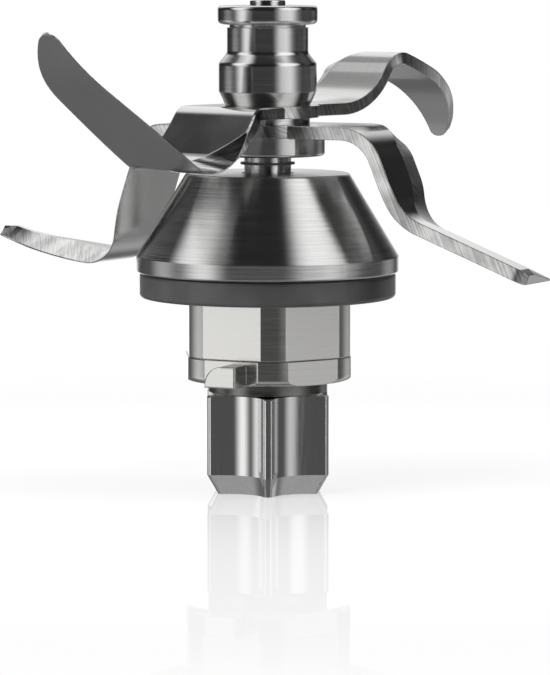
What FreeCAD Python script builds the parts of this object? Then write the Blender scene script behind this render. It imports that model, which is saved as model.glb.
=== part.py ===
import FreeCAD, Part
import math
import os
import Sketcher
from FreeCAD import Placement, Rotation, Vector

# Blade unit of a heated mixing bowl, in millimetres.
# The axis is Z. The unit stands on the end face of its star coupling, which is z = 0.
# Front, the side that faces the viewer, is -Y.

doc = FreeCAD.newDocument("blade_unit")

# Driving sizes: alias, value, what it is
SIZES = [
    # Star coupling and the screw that holds it
    ("coupling_height", 21.0, "star coupling, end face to shoulder"),
    ("coupling_radius", 14.6, "star coupling over its lobes"),
    ("nose_radius", 12.0, "star coupling over its lobes at the end face"),
    ("nose_height", 4.2, "height of the tapered nose"),
    ("flute_depth", 4.2, "depth of the flutes between the lobes"),
    ("flute_radius", 9.5, "radius of each flute"),
    ("lobe_rounding", 0.85, "rounded edges of the lobes"),
    ("coupling_edge", 0.4, "broken upper edge of the lobes"),
    ("lobe_count", 6, "lobes on the coupling"),
    ("coupling_turn", 0.5, "turn of the front lobe, degrees"),
    ("boss_radius", 5.8, "boss that clamps the bearing race"),
    ("screw_radius", 2.5, "coupling screw, thread"),
    ("screw_hole_radius", 2.75, "coupling screw, clearance hole"),
    ("screw_head_radius", 4.25, "coupling screw, head"),
    ("screw_head_height", 4.0, "coupling screw, head"),
    ("screw_length", 15.0, "coupling screw under the head"),
    ("socket_radius", 2.3, "hexagon socket, over corners"),
    ("socket_depth", 2.4, "hexagon socket"),
    ("counterbore_radius", 4.7, "recess for the screw head"),
    ("counterbore_depth", 5.2, "recess for the screw head and its washer"),
    ("lock_washer_height", 0.8, "spring washer under the screw head"),
    ("web_thickness", 3.0, "coupling wall between recess and shaft end"),
    # Shaft
    ("shaft_radius", 4.0, "shaft in the bearings, coupling, blades and hub"),
    ("shaft_neck_radius", 5.0, "shaft through the seal"),
    ("flat_distance", 3.3, "axis to each driving flat of the shaft"),
    ("flat_length", 10.0, "driving flats in the coupling"),
    ("tap_clearance", 2.0, "tapped hole beyond the screw"),
    ("rivet_radius", 3.77, "riveted end of the shaft"),
    ("rivet_height", 1.2, "riveted end of the shaft"),
    ("rivet_edge", 0.45, "rounding of the riveted end"),
    # Bearings
    ("bearing_radius", 11.0, "ball bearing, outside"),
    ("bearing_width", 7.0, "ball bearing"),
    ("bearing_spacing", 12.5, "between the two bearings"),
    ("race_step", 0.53, "depth of the ball track in the inner race"),
    ("outer_race_step", 0.13, "depth of the ball track in the outer race"),
    ("pitch_radius", 7.5, "circle of ball centres"),
    ("ball_radius", 1.98, "bearing ball"),
    ("ball_count", 7, "balls in each bearing"),
    ("track_clearance", 0.05, "between ball and track or cage"),
    ("cage_thickness", 1.1, "ball cage, radially"),
    ("cage_height", 5.4, "ball cage"),
    ("spacer_wall", 1.4, "tube between the inner races"),
    ("wave_washer_height", 0.9, "room for the preload washer"),
    ("wave_washer_plate", 0.3, "preload washer, sheet"),
    # Bearing housing, cover and bayonet ring
    ("running_gap", 0.4, "between coupling and cover"),
    ("cover_thickness", 2.6, "bearing cover flange"),
    ("cover_radius", 12.7, "bearing cover flange"),
    ("cover_spigot", 1.0, "bearing cover into the bearing bore"),
    ("cover_hole_gap", 0.8, "bearing cover hole round the coupling boss"),
    ("hex_corner_radius", 18.3, "bearing housing, round corners"),
    ("hex_flat", 17.0, "bearing housing, axis to flat"),
    ("hex_height", 12.0, "six-sided length of the bearing housing"),
    ("hex_turn", 3.8, "turn of the front corner, degrees"),
    ("bayonet_height", 5.4, "bayonet ring"),
    ("bayonet_bore", 14.2, "bayonet ring on the bearing housing"),
    ("bayonet_flat", 17.2, "bayonet ring, axis to flat"),
    ("bayonet_rounding", 1.3, "bayonet ring, lower corners"),
    ("seam_edge", 0.3, "bayonet ring, broken edge at the seam"),
    ("lug_reach", 5.3, "bayonet lug beyond its flat"),
    ("lug_left", 3.7, "bayonet lug, left of the middle"),
    ("lug_right", 3.5, "bayonet lug, right of the middle"),
    ("lug_height", 4.5, "bayonet lug"),
    ("lug_rounding", 4.0, "bayonet lug, leading corner"),
    ("lug_edge", 0.35, "bayonet lug, outer edges"),
    ("lug_count", 2, "bayonet lugs"),
    ("spigot_radius", 15.0, "bearing housing inside ring and cone"),
    ("o_ring_radius", 0.9, "static seal, section"),
    ("o_ring_drop", 2.4, "static seal below the top of the spigot"),
    # Sealing ring and cone
    ("ring_radius", 27.15, "rubber sealing ring"),
    ("ring_height", 5.4, "rubber sealing ring"),
    ("ring_edge", 0.9, "rubber sealing ring, rounding"),
    ("ring_relief_depth", 0.9, "relief groove under the rubber ring"),
    ("ring_relief_wall", 0.6, "relief groove beyond the housing's corners"),
    ("lug_passage", 1.0, "seat of the rubber ring beyond the lugs"),
    ("flange_radius", 27.85, "cone housing, flange band"),
    ("flange_height", 3.4, "cone housing, flange band"),
    ("flange_edge", 0.3, "cone housing, flange band, edges"),
    ("cone_top_radius", 17.3, "cone housing, top"),
    ("cone_height", 17.5, "cone housing, above the flange band"),
    ("cone_edge", 0.8, "cone housing, rounded top edge"),
    ("cone_lid", 2.5, "cone housing over the seal"),
    ("lid_gap", 0.6, "cone housing round the shaft"),
    # Shaft seal
    ("seal_radius", 9.0, "shaft seal, outside"),
    ("seal_height", 6.2, "shaft seal"),
    ("seal_case_wall", 0.6, "sheet of the seal case"),
    ("seal_case_lip", 2.2, "seal case, inward flange"),
    ("seal_clearance", 0.06, "sealing lips round the shaft"),
    ("seal_web", 1.4, "rubber under the seal case"),
    ("seal_wall", 0.5, "rubber inside the seal case"),
    ("seal_lip_thickness", 1.8, "rubber lip behind its edge"),
    ("seal_lip_edge", 0.4, "height of the sealing edge"),
    ("seal_relief", 1.2, "rubber beside the sealing edge, off the shaft"),
    ("garter_radius", 0.5, "garter spring, section"),
    ("slinger_radius", 5.75, "thin washer on the shaft above the cone"),
    ("slinger_height", 0.45, "thin washer on the shaft above the cone"),
    ("slinger_rise", 1.85, "thin washer above the cone"),
    # Collar, blades and hub
    ("collar_gap", 3.7, "between cone and collar"),
    ("collar_radius", 12.2, "spacer collar"),
    ("collar_height", 4.0, "spacer collar"),
    ("collar_edge", 0.6, "spacer collar, edges"),
    ("low_thickness", 2.7, "lower blade, sheet"),
    ("washer_height", 1.4, "washer between the blades"),
    ("washer_radius", 9.0, "washer between the blades"),
    ("high_thickness", 2.5, "upper blade, sheet"),
    ("low_disc_radius", 12.2, "lower blade round the shaft"),
    ("high_disc_radius", 10.9, "upper blade round the shaft"),
    ("blade_edge", 0.25, "land left at the ground edge"),
    ("blade_break", 0.35, "broken edge before the grinding starts"),
    ("bevel_share", 0.78, "largest share of the width that is ground"),
    ("depth_share", 0.6, "share of the bevel's run-out in which it reaches the lower face"),
    ("hub_foot_radius", 9.0, "hub on the upper blade"),
    ("hub_foot_height", 2.9, "hub, tapered foot"),
    ("hub_bulb_radius", 10.4, "hub, lower cylinder"),
    ("hub_bulb_height", 5.9, "hub, lower cylinder"),
    ("hub_shoulder_height", 2.2, "hub, slope to the neck"),
    ("hub_shoulder_rounding", 1.2, "hub, roundings of the slope"),
    ("hub_neck_radius", 8.63, "hub, neck"),
    ("hub_neck_height", 6.0, "hub, neck"),
    ("hub_groove_depth", 0.5, "hub, groove under the cap"),
    ("hub_groove_height", 0.6, "hub, groove under the cap"),
    ("hub_cap_radius", 10.6, "hub, cap"),
    ("hub_cap_height", 4.0, "hub, cap"),
    ("hub_cap_edge", 0.9, "hub, rounded edges of the cap"),
]

# Each blade arm, from the shaft outwards along the upper face of the sheet:
# flat run, first bend, drop, second bend, run and curl. Turns are in degrees, up is positive.
# lead and trail are the widths ahead of and behind the arm's line at its root, in the drop,
# after the second bend and at the tip. The leading edge is ground from one distance along the arm,
# and the bevel has its full width from another. The upper face falls towards the tip over its ground end.
ARMS = {
    "low_front": {
        "azimuth": -28.5, "flat": 21.5, "bend_radius": 10.1, "bend_turn": -67.2, "drop": 8.8,
        "kick_radius": 9.2, "kick_turn": 46.4, "run": 19.6, "curl_radius": 151.6, "curl_turn": -2.5,
        "lead_root": 11.7, "lead_drop": 11.9, "lead_run": 6.9, "lead_tip": 6.8,
        "trail_root": 8.1, "trail_drop": 8.3, "trail_run": 7.1, "trail_tip": 7.4,
        "tip_length": 3.0, "tip_width": 13.2, "tip_rounding": 0.9, "tip_ground": 1.8, "tip_fall": 0.5,
        "ground_from": 19.0, "ground_full": 31.0, "bevel": 10.0,
    },
    "low_back": {
        "azimuth": 149.5, "flat": 19.1, "bend_radius": 10.5, "bend_turn": -71.4, "drop": 18.0,
        "kick_radius": 5.5, "kick_turn": 77.4, "run": 15.0, "curl_radius": 61.6, "curl_turn": 12.6,
        "lead_root": 11.0, "lead_drop": 11.8, "lead_run": 8.6, "lead_tip": -0.5,
        "trail_root": 9.0, "trail_drop": 9.5, "trail_run": 5.2, "trail_tip": 4.3,
        "tip_length": 4.0, "tip_width": 3.4, "tip_rounding": 1.3, "tip_ground": 2.5, "tip_fall": 0.8,
        "ground_from": 22.0, "ground_full": 36.0, "bevel": 8.6,
    },
    "high_front": {
        "azimuth": 226.5, "flat": 13.0, "bend_radius": 5.1, "bend_turn": -47.4, "drop": 10.3,
        "kick_radius": 4.3, "kick_turn": 81.6, "run": 29.2, "curl_radius": 81.3, "curl_turn": 12.2,
        "lead_root": 9.7, "lead_drop": 12.7, "lead_run": 9.7, "lead_tip": 7.1,
        "trail_root": 12.3, "trail_drop": 10.5, "trail_run": 11.1, "trail_tip": 8.1,
        "tip_length": 21.7, "tip_width": 4.2, "tip_rounding": 1.7, "tip_ground": 4.5, "tip_fall": 1.7,
        "ground_from": 21.5, "ground_full": 31.0, "bevel": 8.2,
    },
    "high_back": {
        "azimuth": 51.8, "flat": 18.0, "bend_radius": 14.9, "bend_turn": 54.6, "drop": 2.5,
        "kick_radius": 5.2, "kick_turn": -71.7, "run": 12.1, "curl_radius": 31.9, "curl_turn": -42.7,
        "lead_root": 10.0, "lead_drop": 10.1, "lead_run": 6.6, "lead_tip": 4.2,
        "trail_root": 6.0, "trail_drop": 8.0, "trail_run": 9.2, "trail_tip": 3.8,
        "tip_length": 14.9, "tip_width": 3.6, "tip_rounding": 1.5, "tip_ground": 3.5, "tip_fall": 1.2,
        "ground_from": 24.0, "ground_full": 39.0, "bevel": 6.2,
    },
}

# Heights and radii worked out from the sizes: alias, formula
LEVELS = [
    ("cover_bottom", "=sizes.coupling_height + sizes.running_gap"),
    ("housing_bottom", "=cover_bottom + sizes.cover_thickness"),
    ("seam", "=housing_bottom + sizes.bayonet_height"),
    ("ring_bottom", "=seam + sizes.hex_height"),
    ("flange_bottom", "=ring_bottom + sizes.ring_height"),
    ("relief_inner_radius", "=sizes.hex_corner_radius + sizes.ring_relief_wall"),
    ("relief_outer_radius", "=sizes.bayonet_flat + sizes.lug_reach + sizes.lug_passage"),
    ("flange_top", "=flange_bottom + sizes.flange_height"),
    ("cone_top", "=flange_top + sizes.cone_height"),
    ("collar_bottom", "=cone_top + sizes.collar_gap"),
    ("low_blade_bottom", "=collar_bottom + sizes.collar_height"),
    ("washer_bottom", "=low_blade_bottom + sizes.low_thickness"),
    ("high_blade_bottom", "=washer_bottom + sizes.washer_height"),
    ("hub_bottom", "=high_blade_bottom + sizes.high_thickness"),
    ("hub_foot_top", "=hub_bottom + sizes.hub_foot_height"),
    ("hub_bulb_top", "=hub_foot_top + sizes.hub_bulb_height"),
    ("hub_neck_bottom", "=hub_bulb_top + sizes.hub_shoulder_height"),
    ("hub_cap_bottom", "=hub_neck_bottom + sizes.hub_neck_height"),
    ("hub_top", "=hub_cap_bottom + sizes.hub_cap_height"),
    ("shaft_top", "=hub_top + sizes.rivet_height"),
    ("low_bearing_bottom", "=housing_bottom + sizes.cover_spigot"),
    ("low_bearing_top", "=low_bearing_bottom + sizes.bearing_width"),
    ("high_bearing_bottom", "=low_bearing_top + sizes.bearing_spacing"),
    ("high_bearing_top", "=high_bearing_bottom + sizes.bearing_width"),
    ("low_bearing_middle", "=low_bearing_bottom + sizes.bearing_width / 2"),
    ("high_bearing_middle", "=high_bearing_bottom + sizes.bearing_width / 2"),
    ("race_bore", "=sizes.shaft_radius"),
    ("race_outside", "=sizes.bearing_radius"),
    ("track_radius", "=sizes.ball_radius + sizes.track_clearance"),
    ("inner_land", "=sizes.pitch_radius - track_radius + sizes.race_step"),
    ("outer_land", "=sizes.pitch_radius + track_radius - sizes.outer_race_step"),
    ("spigot_top", "=high_bearing_top + sizes.wave_washer_height"),
    ("o_ring_level", "=spigot_top - sizes.o_ring_drop"),
    ("shaft_bottom", "=sizes.counterbore_depth + sizes.web_thickness"),
    ("screw_head_top", "=sizes.counterbore_depth - sizes.lock_washer_height"),
    ("seal_top", "=cone_top - sizes.cone_lid"),
    ("seal_bottom", "=seal_top - sizes.seal_height"),
]


def make_sheet(name, rows):
    """Spreadsheet with one alias in each row: name, value and an optional note."""
    table = doc.addObject("Spreadsheet::Sheet", name)
    for row, entry in enumerate(rows, start=1):
        table.set(f"A{row}", entry[0])
        table.set(f"B{row}", str(entry[1]))
        table.setAlias(f"B{row}", entry[0])
        if len(entry) > 2:
            table.set(f"C{row}", entry[2])
    doc.recompute()
    return table


arm_rows = [(f"{arm}_{what}", value) for arm, values in ARMS.items() for what, value in values.items()]
sizes = make_sheet("sizes", SIZES)
arms = make_sheet("arms", arm_rows)
levels = make_sheet("levels", LEVELS)


def size(alias):
    return float(getattr(sizes, alias))


def level(alias):
    return float(getattr(levels, alias))


def arm_size(arm, what):
    return float(getattr(arms, f"{arm}_{what}"))


def origin_plane(body, role):
    return next(item for item in body.Origin.OriginFeatures if item.Role == role)


def new_body(label):
    body = doc.addObject("PartDesign::Body", label)
    body.Label = label
    return body


def new_sketch(body, name, role, offset=None, turned=None):
    """Sketch on one of the body's own planes; offset is a formula along the plane's normal, turned one about it."""
    sketch = body.newObject("Sketcher::SketchObject", name)
    sketch.AttachmentSupport = [(origin_plane(body, role), "")]
    sketch.MapMode = "FlatFace"
    if offset:
        sketch.setExpression("AttachmentOffset.Base.z", offset)
    if turned:
        sketch.setExpression("AttachmentOffset.Rotation.Angle", turned)
    return sketch


def fix_point(sketch, geometry, point, across, upwards):
    """Ties a sketch point to two formulas; None puts it on that axis."""
    for kind, formula, axis in (("DistanceX", across, -2), ("DistanceY", upwards, -1)):
        if formula is None:
            sketch.addConstraint(Sketcher.Constraint("PointOnObject", geometry, point, axis))
        else:
            start = abs(getattr(sketch.getPoint(geometry, point), "x" if kind == "DistanceX" else "y"))
            index = sketch.addConstraint(Sketcher.Constraint(kind, -1, 1, geometry, point, start))
            sketch.setExpression(f"Constraints[{index}]", formula)


# A new sketch's points start here, until their formulas place them
START_SPOT, START_REACH = Vector(10, 10, 0), 5


def draw_outline(sketch, corners):
    """Closed outline of straight lines through corners given as pairs of formulas."""
    count = len(corners)
    spots = []
    for i in range(count):
        angle = 2 * math.pi * i / count
        spots.append(START_SPOT + START_REACH * Vector(math.cos(angle), math.sin(angle), 0))
    for i in range(count):
        sketch.addGeometry(Part.LineSegment(spots[i], spots[(i + 1) % count]), False)
    for i in range(count):
        sketch.addConstraint(Sketcher.Constraint("Coincident", i, 2, (i + 1) % count, 1))
    for i, (across, upwards) in enumerate(corners):
        fix_point(sketch, i, 1, across, upwards)


def draw_circle(sketch, across, upwards, radius):
    sketch.addGeometry(Part.Circle(START_SPOT, Vector(0, 0, 1), START_REACH), False)
    index = sketch.addConstraint(Sketcher.Constraint("Radius", 0, START_REACH))
    sketch.setExpression(f"Constraints[{index}]", radius)
    fix_point(sketch, 0, 3, across, upwards)


def spin_section(body, sketch):
    """Full turn of a half section about Z."""
    turned = body.newObject("PartDesign::Revolution", body.Label + "_turned")
    turned.Profile = sketch
    turned.ReferenceAxis = (sketch, ["V_Axis"])
    turned.Angle = 360
    sketch.Visibility = False
    doc.recompute()
    return body


def revolve(body, corners):
    """Turned solid from a half section: corners are (radius, height) formulas."""
    sketch = new_sketch(body, body.Label + "_section", "XZ_Plane")
    draw_outline(sketch, corners)
    spin_section(body, sketch)


def circle_edges(body, radius, height):
    """Names of the body's round edges about Z with this radius and height."""
    found = []
    for index, edge in enumerate(body.Shape.Edges, start=1):
        if not isinstance(edge.Curve, Part.Circle):
            continue
        middle = edge.Curve.Center
        on_axis = math.hypot(middle.x, middle.y) < 1e-4
        if on_axis and abs(edge.Curve.Radius - radius) < 1e-4 and abs(middle.z - height) < 1e-4:
            found.append(f"Edge{index}")
    return found


def dress(body, kind, alias, edges):
    """Fillet or chamfer of a named size on named edges."""
    feature = body.newObject("PartDesign::" + kind, f"{body.Label}_{alias}")
    feature.Base = (body.Tip if body.Tip != feature else feature.BaseFeature, edges)
    feature.setExpression("Radius" if kind == "Fillet" else "Size", "sizes." + alias)
    doc.recompute()
    return feature


def turned_piece(label, corners, edges=()):
    """Turned piece; edges are (kind, alias, radius, height) of its rounded or broken edges."""
    body = new_body(label)
    revolve(body, corners)
    for kind, alias, radius, height in edges:
        dress(body, kind, alias, circle_edges(body, radius, height))
    return body


def tube(label, inner, outer, bottom, top, edges=()):
    corners = [(inner, bottom), (outer, bottom), (outer, top), (inner, top)]
    return turned_piece(label, corners, edges)


def pocket(body, sketch, name, length, reverse=False):
    cut = body.newObject("PartDesign::Pocket", name)
    cut.Profile = sketch
    cut.setExpression("Length", length)
    cut.Reversed = reverse
    sketch.Visibility = False
    doc.recompute()
    return cut


def pad(body, sketch, name, length):
    added = body.newObject("PartDesign::Pad", name)
    added.Profile = sketch
    added.setExpression("Length", length)
    sketch.Visibility = False
    doc.recompute()
    return added


def around(body, originals, name, count):
    """Repeats features evenly about Z; count is a formula."""
    pattern = body.newObject("PartDesign::PolarPattern", name)
    pattern.Originals = originals
    pattern.Axis = (origin_plane(body, "Z_Axis"), [""])
    pattern.Angle = 360
    pattern.setExpression("Occurrences", count)
    body.Tip = pattern
    doc.recompute()
    return pattern


def turn(piece, degrees):
    piece.setExpression("Placement.Rotation.Angle", degrees)
    doc.recompute()


def finished(label, shape_object):
    shape_object.Label = label
    return shape_object


def cut_away(label, base, tool):
    result = doc.addObject("Part::Cut", label)
    result.Base = base
    result.Tool = tool
    doc.recompute()
    return finished(label, result)


# Shaft

def make_shaft():
    body = new_body("drive_shaft")
    revolve(body, [
        (None, "levels.shaft_bottom + sizes.screw_length + sizes.tap_clearance"),
        ("sizes.screw_radius", "levels.shaft_bottom + sizes.screw_length + sizes.tap_clearance"),
        ("sizes.screw_radius", "levels.shaft_bottom"),
        ("sizes.shaft_radius", "levels.shaft_bottom"),
        ("sizes.shaft_radius", "levels.high_bearing_top"),
        ("sizes.shaft_neck_radius", "levels.high_bearing_top"),
        ("sizes.shaft_neck_radius", "levels.collar_bottom"),
        ("sizes.shaft_radius", "levels.collar_bottom"),
        ("sizes.shaft_radius", "levels.hub_top"),
        ("sizes.rivet_radius", "levels.hub_top"),
        ("sizes.rivet_radius", "levels.shaft_top"),
        (None, "levels.shaft_top"),
    ])
    dress(body, "Fillet", "rivet_edge", circle_edges(body, size("rivet_radius"), level("shaft_top")))
    for name, bottom, length in (
        ("coupling_flat", "levels.shaft_bottom", "sizes.flat_length"),
        ("blade_flat", "levels.low_blade_bottom", "levels.hub_bottom - levels.low_blade_bottom"),
    ):
        sketch = new_sketch(body, name + "_sketch", "XY_Plane", bottom)
        draw_outline(sketch, [
            (None, "sizes.flat_distance"),
            ("sizes.shaft_neck_radius", "sizes.flat_distance"),
            ("sizes.shaft_neck_radius", "sizes.shaft_neck_radius"),
            (None, "sizes.shaft_neck_radius"),
        ])
        right = pocket(body, sketch, name, length, reverse=True)
        mirrored = body.newObject("PartDesign::MultiTransform", name + "_both")
        side = body.newObject("PartDesign::Mirrored", name + "_side")
        side.MirrorPlane = (origin_plane(body, "YZ_Plane"), [""])
        back = body.newObject("PartDesign::Mirrored", name + "_back")
        back.MirrorPlane = (origin_plane(body, "XZ_Plane"), [""])
        mirrored.Originals = [right]
        mirrored.Transformations = [side, back]
        body.Tip = mirrored
        doc.recompute()
    return body


# Star coupling

def make_coupling():
    body = new_body("drive_coupling")
    revolve(body, [
        ("sizes.counterbore_radius", None),
        ("sizes.nose_radius", None),
        ("sizes.coupling_radius", "sizes.nose_height"),
        ("sizes.coupling_radius", "sizes.coupling_height - sizes.coupling_edge"),
        ("sizes.coupling_radius - sizes.coupling_edge", "sizes.coupling_height"),
        ("sizes.boss_radius", "sizes.coupling_height"),
        ("sizes.boss_radius", "levels.low_bearing_bottom"),
        ("sizes.shaft_radius", "levels.low_bearing_bottom"),
        ("sizes.shaft_radius", "levels.shaft_bottom"),
        ("sizes.screw_hole_radius", "levels.shaft_bottom"),
        ("sizes.screw_hole_radius", "sizes.counterbore_depth"),
        ("sizes.counterbore_radius", "sizes.counterbore_depth"),
    ])
    # The front lobe is half a pitch from the first flute
    place = "-90 + 180 / sizes.lobe_count + sizes.coupling_turn"
    reach = "(sizes.coupling_radius - sizes.flute_depth + sizes.flute_radius)"
    share = "sizes.nose_radius / sizes.coupling_radius"
    straight = new_sketch(body, "flute_sketch", "XY_Plane", "sizes.nose_height", place)
    draw_circle(straight, reach, None, "sizes.flute_radius")
    flute = pocket(body, straight, "flute", "sizes.coupling_height - sizes.nose_height", reverse=True)
    low = new_sketch(body, "nose_flute_low", "XY_Plane", turned=place)
    draw_circle(low, f"{reach} * {share}", None, f"sizes.flute_radius * {share}")
    high = new_sketch(body, "nose_flute_high", "XY_Plane", "sizes.nose_height", place)
    draw_circle(high, reach, None, "sizes.flute_radius")
    doc.recompute()
    nose = body.newObject("PartDesign::SubtractiveLoft", "nose_flute")
    nose.Profile = low
    nose.Sections = [high]
    nose.Ruled = True
    low.Visibility = high.Visibility = False
    doc.recompute()
    around(body, [flute, nose], "flutes", "sizes.lobe_count")
    steep = size("nose_height") / 2
    reach = size("coupling_radius") - size("flute_depth")
    lobes = [f"Edge{index}" for index, edge in enumerate(body.Shape.Edges, start=1)
             if edge.BoundBox.ZLength > steep and math.hypot(*edge.CenterOfMass[:2]) > reach]
    dress(body, "Fillet", "lobe_rounding", lobes)
    key = new_sketch(body, "key_sketch", "XY_Plane", "levels.shaft_bottom")
    draw_outline(key, [
        (None, "sizes.flat_distance"),
        ("sizes.shaft_radius", "sizes.flat_distance"),
        ("sizes.shaft_radius", "sizes.shaft_neck_radius"),
        (None, "sizes.shaft_neck_radius"),
    ])
    right = pad(body, key, "key", "sizes.flat_length")
    both = body.newObject("PartDesign::MultiTransform", "keys")
    side = body.newObject("PartDesign::Mirrored", "key_side")
    side.MirrorPlane = (origin_plane(body, "YZ_Plane"), [""])
    back = body.newObject("PartDesign::Mirrored", "key_back")
    back.MirrorPlane = (origin_plane(body, "XZ_Plane"), [""])
    both.Originals = [right]
    both.Transformations = [side, back]
    body.Tip = both
    doc.recompute()
    return body


def make_coupling_screw():
    blank = turned_piece("coupling_screw_blank", [
        (None, "levels.screw_head_top - sizes.screw_head_height"),
        ("sizes.screw_head_radius", "levels.screw_head_top - sizes.screw_head_height"),
        ("sizes.screw_head_radius", "levels.screw_head_top"),
        ("sizes.screw_radius", "levels.screw_head_top"),
        ("sizes.screw_radius", "levels.screw_head_top + sizes.screw_length"),
        (None, "levels.screw_head_top + sizes.screw_length"),
    ])
    socket = doc.addObject("Part::Prism", "screw_socket")
    socket.Polygon = 6
    socket.setExpression("Circumradius", "sizes.socket_radius")
    socket.setExpression("Height", "sizes.socket_depth")
    socket.setExpression("Placement.Base.z", "levels.screw_head_top - sizes.screw_head_height")
    return cut_away("coupling_screw", blank, socket)


# Ball bearings

def ball_ring(label, radius, middle):
    """Spheres on the ball circle at this height."""
    balls = []
    for index in range(int(size("ball_count"))):
        ball = doc.addObject("Part::Sphere", f"{label}_{index + 1}")
        angle = f"{index} * 360 deg / sizes.ball_count"
        ball.setExpression("Radius", radius)
        ball.setExpression("Placement.Base.x", f"sizes.pitch_radius * cos({angle})")
        ball.setExpression("Placement.Base.y", f"sizes.pitch_radius * sin({angle})")
        ball.setExpression("Placement.Base.z", middle)
        balls.append(ball)
    group = doc.addObject("Part::Compound", label)
    group.Links = balls
    doc.recompute()
    return finished(label, group)


def make_cage(label, middle):
    """Tube with a round window for each ball."""
    half = "sizes.cage_thickness / 2"
    cage = tube(label, f"sizes.pitch_radius - {half}", f"sizes.pitch_radius + {half}",
                f"{middle} - sizes.cage_height / 2", f"{middle} + sizes.cage_height / 2")
    sketch = new_sketch(cage, label + "_window_sketch", "YZ_Plane",
                        "sizes.pitch_radius - sizes.cage_thickness")
    draw_circle(sketch, None, middle, "sizes.ball_radius + sizes.track_clearance")
    window = pocket(cage, sketch, label + "_window", "2 * sizes.cage_thickness", reverse=True)
    around(cage, [window], label + "_windows", "sizes.ball_count")
    return cage


def make_race(label, back, land, place):
    """Turned race whose land, the side towards the balls, has the round track in it."""
    back_radius, land_radius, track = level(back), level(land), level("track_radius")
    low, high = level(f"{place}_bearing_bottom"), level(f"{place}_bearing_top")
    middle, pitch = level(f"{place}_bearing_middle"), size("pitch_radius")
    inside = land_radius < pitch
    reach = math.sqrt(track ** 2 - (pitch - land_radius) ** 2)
    half = math.atan2(reach, abs(pitch - land_radius))
    body = new_body(label)
    sketch = new_sketch(body, label + "_section", "XZ_Plane")
    spots = [Vector(back_radius, low, 0), Vector(land_radius, low, 0),
             Vector(land_radius, middle - reach, 0), Vector(land_radius, middle + reach, 0),
             Vector(land_radius, high, 0), Vector(back_radius, high, 0)]
    for start, end in ((0, 1), (1, 2), (3, 4), (4, 5), (5, 0)):
        sketch.addGeometry(Part.LineSegment(spots[start], spots[end]), False)
    circle = Part.Circle(Vector(pitch, middle, 0), Vector(0, 0, 1), track)
    if inside:
        arc = Part.ArcOfCircle(circle, math.pi - half, math.pi + half)
    else:
        arc = Part.ArcOfCircle(circle, -half, half)
    sketch.addGeometry(arc, False)
    arc_low, arc_high = (2, 1) if inside else (1, 2)
    for one, other in (((0, 2), (1, 1)), ((2, 2), (3, 1)), ((3, 2), (4, 1)), ((4, 2), (0, 1)),
                       ((1, 2), (5, arc_low)), ((2, 1), (5, arc_high))):
        sketch.addConstraint(Sketcher.Constraint("Coincident", *one, *other))
    for line, kind in ((0, "Horizontal"), (1, "Vertical"), (2, "Vertical"), (3, "Horizontal"), (4, "Vertical")):
        sketch.addConstraint(Sketcher.Constraint(kind, line))
    fix_point(sketch, 0, 1, f"levels.{back}", f"levels.{place}_bearing_bottom")
    fix_point(sketch, 3, 1, f"levels.{land}", f"levels.{place}_bearing_top")
    fix_point(sketch, 5, 3, "sizes.pitch_radius", f"levels.{place}_bearing_middle")
    index = sketch.addConstraint(Sketcher.Constraint("Radius", 5, track))
    sketch.setExpression(f"Constraints[{index}]", "levels.track_radius")
    index = sketch.addConstraint(Sketcher.Constraint("DistanceX", -1, 1, 1, 1, land_radius))
    sketch.setExpression(f"Constraints[{index}]", f"levels.{land}")
    return spin_section(body, sketch)


def make_bearing(name, place):
    """Inner race, outer race, cage and balls of one deep-groove bearing."""
    middle = f"levels.{place}_bearing_middle"
    return [
        make_race(f"{name}_inner_race", "race_bore", "inner_land", place),
        make_race(f"{name}_outer_race", "race_outside", "outer_land", place),
        make_cage(f"{name}_ball_cage", middle),
        ball_ring(f"{name}_balls", "sizes.ball_radius", middle),
    ]


# Bearing housing, its cover and the bayonet ring

def cut_flats(body, flat, bottom, height):
    """Six flats at a distance from the axis, the first one towards +X."""
    sketch = new_sketch(body, body.Label + "_flat_sketch", "XY_Plane", bottom)
    corner = "sizes.hex_corner_radius * 1.2"
    half = "sizes.hex_corner_radius"
    draw_outline(sketch, [(flat, None), (corner, None), (corner, half), (flat, half)])
    upper = pocket(body, sketch, body.Label + "_flat", height, reverse=True)
    both = body.newObject("PartDesign::MultiTransform", body.Label + "_flats")
    mirror = body.newObject("PartDesign::Mirrored", body.Label + "_flat_side")
    mirror.MirrorPlane = (origin_plane(body, "XZ_Plane"), [""])
    polar = body.newObject("PartDesign::PolarPattern", body.Label + "_flat_round")
    polar.Axis = (origin_plane(body, "Z_Axis"), [""])
    polar.Angle = 360
    polar.Occurrences = 6
    both.Originals = [upper]
    both.Transformations = [mirror, polar]
    body.Tip = both
    doc.recompute()


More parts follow.
